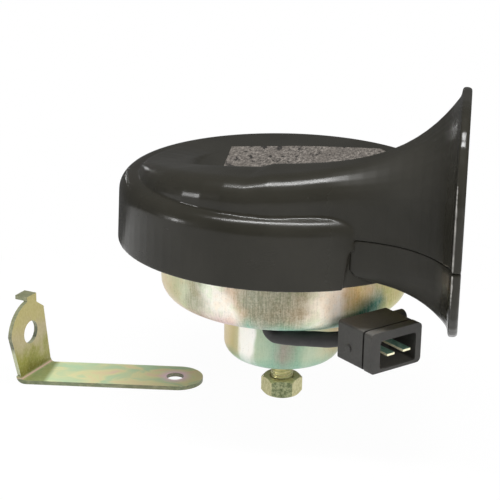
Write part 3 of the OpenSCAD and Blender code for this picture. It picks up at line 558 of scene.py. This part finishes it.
SLOTS = {row["node"]: row["material_slot"] for row in frame["record"]["subparts"]}


def paint(obj, material):
    obj.data.materials.clear()
    obj.data.materials.append(material)


# Mesh helpers
def new_piece(name, mesh, body, slot_name):
    obj = placed(name, mesh)
    paint(obj, MATERIALS[slot_name])
    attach(obj, body)
    return obj


def welded_copy(node, name):
    mesh = nodes[node].data.copy()
    mesh.name = name
    work = bmesh.new()
    work.from_mesh(mesh)
    bmesh.ops.remove_doubles(work, verts=work.verts, dist=0.002 * MM)
    work.to_mesh(mesh)
    work.free()
    return mesh


def applied(obj):
    """Bakes the object's modifiers into a new mesh."""
    bpy.context.view_layer.update()
    graph = bpy.context.evaluated_depsgraph_get()
    mesh = bpy.data.meshes.new_from_object(obj.evaluated_get(graph), depsgraph=graph)
    obj.modifiers.clear()
    obj.data = mesh
    return mesh


WALL_LOOSENESS = 0.35


def looseness(point):
    """How much smoothing a point of a moulded skin takes: most at the rolled bead, little elsewhere."""
    return 1.0 if point.x > BEAD_FROM else WALL_LOOSENESS


def soften(node, name, voxel, rounds):
    """A finer skin of a moulded CAD node, with its inside corners filled and its edges rounded."""
    obj = new_piece(name, welded_copy(node, name), "horn", SLOTS[node])
    remesh = obj.modifiers.new("remesh", "REMESH")
    remesh.mode = "VOXEL"
    remesh.voxel_size = voxel
    mesh = applied(obj)
    loose = obj.vertex_groups.new(name="loose")
    for vertex in mesh.vertices:
        loose.add([vertex.index], looseness(vertex.co), "REPLACE")
    smooth = obj.modifiers.new("smooth", "SMOOTH")
    smooth.factor = 0.5
    smooth.iterations = rounds
    smooth.vertex_group = loose.name
    mesh = applied(obj)
    mesh.shade_smooth()
    paint(obj, MATERIALS[SLOTS[node]])
    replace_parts(obj, node)


def refine(node, bevel=0.0, sharp=35.0):
    """Smooth shading on a CAD node that keeps its own shape, with its edges broken by a small bevel."""
    obj = nodes[node]
    weld = obj.modifiers.new("weld", "WELD")
    weld.merge_threshold = 0.002 * MM
    if bevel:
        edge = obj.modifiers.new("bevel", "BEVEL")
        edge.width = bevel
        edge.segments = 2
        edge.limit_method = "ANGLE"
        edge.angle_limit = math.radians(sharp)
    obj.data.shade_smooth()
    split = obj.modifiers.new("split", "EDGE_SPLIT")
    split.split_angle = math.radians(sharp)
    normal = obj.modifiers.new("normal", "WEIGHTED_NORMAL")
    normal.keep_sharp = True


# Stud with its thread
STUD_STEPS = 48
RINGS_PER_TURN = 8
THREAD_PITCH = 1.25 * MM
THREAD_DEPTH = 0.62 * MM
STUD_R = 3.98 * MM
CORE_R = STUD_HIGH.x
STUD_TIP = STUD_LOW.z
THREAD_TOP = -2.2 * MM


def circle(steps):
    return [2 * math.pi * i / steps for i in range(steps)]


def skin_of_rings(name, rings, sharp):
    """A closed mesh through rings of points, capped at both ends."""
    mesh = bpy.data.meshes.new(name)
    work = bmesh.new()
    rows = [[work.verts.new(point) for point in ring] for ring in rings]
    for low, high in zip(rows, rows[1:]):
        for i in range(len(low)):
            k = (i + 1) % len(low)
            work.faces.new((low[i], low[k], high[k], high[i]))
    work.faces.new(list(reversed(rows[0])))
    work.faces.new(rows[-1])
    work.to_mesh(mesh)
    work.free()
    mesh.shade_smooth()
    mesh.set_sharp_from_angle(angle=math.radians(sharp))
    return mesh


def thread_radius(z, turn):
    phase = ((z - STUD_TIP) / THREAD_PITCH - turn / (2 * math.pi)) % 1.0
    wave = abs(phase * 2 - 1)
    cut = THREAD_DEPTH * min(1.0, max(0.0, (wave - 0.15) / 0.7))
    tip = max(0.0, 0.8 * MM - (z - STUD_TIP)) * 0.9
    fade = min(1.0, max(0.0, (THREAD_TOP - z) / THREAD_PITCH))
    return min(STUD_R - cut * fade, STUD_R - tip)


def make_stud():
    count = int((THREAD_TOP - STUD_TIP) / THREAD_PITCH * RINGS_PER_TURN)
    levels = [STUD_TIP + (THREAD_TOP - STUD_TIP) * i / count for i in range(count + 1)]
    turns = circle(STUD_STEPS)

    def ring(z, radii):
        return [(r * math.cos(t), r * math.sin(t), z) for r, t in zip(radii, turns)]

    rings = [ring(z, [thread_radius(z, t) for t in turns]) for z in levels]
    plain = [(STUD_R, 0.0), (STUD_R, 1.2 * MM), (CORE_R, 1.2 * MM), (CORE_R, STUD_HIGH.z)]
    rings += [ring(z, [r] * STUD_STEPS) for r, z in plain]
    stud = new_piece("stud_threaded", skin_of_rings("stud_threaded", rings, 60), "horn", "stud_gold")
    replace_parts(stud, "pole_core_stud")


# Cords: swept tubes along smoothed routes
def smoothed(route, steps):
    """Points of a smooth curve that passes through the route."""
    points = [Vector(p) for p in route]
    ends = [2 * points[0] - points[1]] + points + [2 * points[-1] - points[-2]]
    out = []
    for a, b, c, d in zip(ends, ends[1:], ends[2:], ends[3:]):
        for i in range(steps):
            t = i / steps
            point = 2 * b + (c - a) * t
            point += (2 * a - 5 * b + 4 * c - d) * t * t
            point += (3 * b - a - 3 * c + d) * t ** 3
            out.append(0.5 * point)
    out.append(points[-1])
    return out


def tube(name, points, radius_at, sides, first=None):
    """A closed round skin along the points; radius_at takes the share of the way along."""
    last = len(points) - 1
    tangents = [(points[min(i + 1, last)] - points[max(i - 1, 0)]).normalized() for i in range(last + 1)]
    if first is not None:
        tangents[0] = first
    across = tangents[0].orthogonal().normalized()
    rings = []
    for i, (point, tangent) in enumerate(zip(points, tangents)):
        across = (across - tangent * across.dot(tangent)).normalized()
        side = tangent.cross(across)
        radius = radius_at(i / last)
        rings.append([point + radius * (math.cos(t) * across + math.sin(t) * side) for t in circle(sides)])
    return skin_of_rings(name, rings, 50)


GROMMET = Vector((-1.0, -30.5, 23.3)) * MM
SLEEVE_R = 2.7 * MM
SLEEVE_BEND = 3.1 * MM
SLEEVE_TOP = GROMMET.z - 1.4 * MM
SLEEVE_HEADING = math.radians(-24)
SLEEVE_RUN = [(5.4, -2.2, 0.1), (9.0, -3.1, 0.4), (13.0, -4.1, 0.8), (17.0, -5.0, 1.3), (21.0, -5.8, 1.7)]
SLEEVE_END = [(2.4, -1.9), (1.0, -1.8), (0.0, -1.8)]
PLUG_TURN = math.radians(-45.5)
PLUG_AT = Vector((36.914, -41.578, 23.7)) * MM
PLUG_DEPTH = 17.0 * MM


def plug_point(back, side, height):
    """A point behind the connector's back, from its middle."""
    along = Vector((math.cos(PLUG_TURN), math.sin(PLUG_TURN), 0.0))
    across = Vector((-math.sin(PLUG_TURN), math.cos(PLUG_TURN), 0.0))
    return PLUG_AT - along * (PLUG_DEPTH / 2 + back) + across * side + Vector((0.0, 0.0, height))


def make_sleeve():
    """The rubber sleeve: down out of the grommet, along under the bowl and into the connector's back."""
    route = []
    for degrees in (0, 30, 60, 90):
        turn = math.radians(degrees)
        out = SLEEVE_BEND * (1 - math.cos(turn))
        x = GROMMET.x + out * math.cos(SLEEVE_HEADING)
        y = GROMMET.y + out * math.sin(SLEEVE_HEADING)
        route.append(Vector((x, y, SLEEVE_TOP - SLEEVE_BEND * math.sin(turn))))
    low = SLEEVE_TOP - SLEEVE_BEND
    route += [Vector((GROMMET.x + x * MM, GROMMET.y + y * MM, low + z * MM)) for x, y, z in SLEEVE_RUN]
    route += [plug_point(back * MM, -5 * MM, height * MM) for back, height in SLEEVE_END]

    def radius(share):
        lumps = 0.012 * math.sin(31 * share) + 0.010 * math.sin(53 * share + 1)
        return SLEEVE_R * (0.985 + lumps * min(1.0, 6 * share, 6 * (1 - share)))

    points = smoothed(route, 8)
    mesh = tube("sleeve", points, radius, 32, Vector((0, 0, -1)))
    sleeve = new_piece("sleeve", mesh, "horn", "black_rubber")
    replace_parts(sleeve, "lead_sleeve")


COIL_LEAD = [
    (0.5, -30.5, 26.0),
    (0.5, -30.5, 28.0),
    (0.4, -28.5, 30.6),
    (0.0, -23.5, 31.9),
    (-0.4, -19.5, 31.52),
    (-0.5, -16.5, 31.52),
]
CONTACT_LEAD = [
    (-2.5, -30.5, 26.0),
    (-2.5, -30.5, 28.0),
    (-7.0, -29.0, 30.0),
    (-22.0, -20.0, 31.0),
    (-29.0, -6.0, 31.0),
    (-30.0, 8.0, 32.0),
    (-24.0, 21.0, 33.0),
    (-15.0, 28.0, 33.5),
    (-10.2, 29.0, 30.5),
]
LEAD_R = 0.98 * MM


def make_lead(node, route):
    """A round lead inside the bowl."""
    points = smoothed([Vector(point) * MM for point in route], 6)
    mesh = tube(node + "_round", points, lambda share: LEAD_R, 20)
    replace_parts(new_piece(node + "_round", mesh, "horn", SLOTS[node]), node)


def make_diaphragm():
    """The dished sheet, clamped at its rim: a smooth-shaded copy of the CAD node."""
    sheet = placed("diaphragm_sprung", welded_copy("diaphragm", "diaphragm_sprung"))
    paint(sheet, MATERIALS[SLOTS["diaphragm"]])
    sheet.data.shade_smooth()
    sheet.data.set_sharp_from_angle(angle=math.radians(35))
    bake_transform(sheet)
    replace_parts(sheet, "diaphragm")


ROUND_PIECES = (
    "housing",
    "flange_screws",
    "contact_rivets",
    "grommet",
    "adjusting_bush",
    "adjusting_screw",
)
SKIN_VOXEL = 0.45 * MM
SKIN_ROUNDS = 14


def finish_pieces():
    """Finishes on every CAD node, broken edges, and finer skins for the two mouldings."""
    for node, obj in nodes.items():
        paint(obj, MATERIALS[SLOTS[node]])
    paint(nodes["mounting_bracket"], MATERIALS["zinc_strip"])
    for node in ROUND_PIECES:
        refine(node)
    refine("mounting_nut", 0.12 * MM, 25.0)
    refine("mounting_bracket", 0.12 * MM, 40.0)
    refine("connector_body", 0.25 * MM, 40.0)
    refine("blade_left", 0.15 * MM)
    refine("blade_right", 0.15 * MM)
    refine("label_panel", 0.1 * MM)
    soften("trumpet_upper", "trumpet_upper_skin", SKIN_VOXEL, SKIN_ROUNDS)
    soften("trumpet_lower", "trumpet_lower_skin", SKIN_VOXEL, SKIN_ROUNDS)


# Floor, backdrop and lights
def ray_share(tree, weights, base=0.0):
    """A number that starts at the base and gains each ray kind's weight."""
    path = tree.nodes.new("ShaderNodeLightPath")
    amount = base
    for kind, weight in weights:
        add = tree.nodes.new("ShaderNodeMath")
        add.operation = "MULTIPLY_ADD"
        tree.links.new(path.outputs[kind], add.inputs[0])
        add.inputs[1].default_value = weight
        if isinstance(amount, float):
            add.inputs[2].default_value = amount
        else:
            tree.links.new(amount, add.inputs[2])
        amount = add.outputs["Value"]
    return amount


def make_stage():
    """A white table that ends behind the horn, in a white room that reads dimmer in reflections."""
    s = Shade("table_white")
    s.surface(Base_Color=rgba(0.8, 0.8, 0.8), Roughness=0.8)
    white = s.add("ShaderNodeEmission", Color=rgba(1, 1, 1), Strength=1.0)
    blend = s.tree.nodes.new("ShaderNodeMixShader")
    shares = [("Is Camera Ray", 0.97), ("Is Glossy Ray", 0.85), ("Is Transmission Ray", 0.97)]
    s.tree.links.new(ray_share(s.tree, shares), blend.inputs[0])
    s.tree.links.new(s.bsdf.outputs["BSDF"], blend.inputs[1])
    s.tree.links.new(white.outputs["Emission"], blend.inputs[2])
    s.tree.links.new(blend.outputs["Shader"], s.tree.nodes["Material Output"].inputs["Surface"])
    mesh = bpy.data.meshes.new("table")
    corners = [(-1.6, -1.6), (1.6, -1.6), (1.6, 0.12), (-1.6, 0.12)]
    mesh.from_pydata([(x, y, FLOOR_Z) for x, y in corners], [], [(0, 1, 2, 3)])
    table = placed("table", mesh)
    paint(table, s.material)

    world = bpy.data.worlds.new("studio")
    world.use_nodes = True
    bpy.context.scene.world = world
    tree = world.node_tree
    background = tree.nodes["Background"]
    background.inputs["Color"].default_value = rgba(1, 1, 1)
    shares = [("Is Camera Ray", 0.6), ("Is Transmission Ray", 0.6), ("Is Glossy Ray", -0.28)]
    tree.links.new(ray_share(tree, shares, 0.4), background.inputs["Strength"])


def add_light(name, at, aim, size, size_y, power):
    data = bpy.data.lights.new(name, "AREA")
    data.shape = "ELLIPSE"
    data.size = size
    data.size_y = size_y
    data.energy = power
    light = placed(name, data)
    light.location = at
    light.rotation_euler = (Vector(aim) - Vector(at)).to_track_quat("-Z", "Y").to_euler()
    return light


def make_lights():
    aim = (0.0, -0.01, 0.03)
    add_light("key_left", (-0.93, -0.36, 0.22), aim, 0.055, 0.19, 1.6)
    soft = add_light("soft_right", (0.62, -0.79, 0.30), aim, 0.55, 0.5, 6.0)
    soft.visible_glossy = False
    add_light("top_strip", (0.0, -0.15, 1.0), aim, 1.0, 0.10, 12.5)
    add_light("rim_back", (-0.62, 0.95, 0.20), aim, 0.06, 0.03, 0.10)


make_camera()
make_stage()
make_lights()
finish_pieces()
make_stud()
make_sleeve()
make_lead("coil_lead", COIL_LEAD)
make_lead("contact_lead", CONTACT_LEAD)
make_diaphragm()

bpy.context.scene.view_settings.view_transform = "Standard"
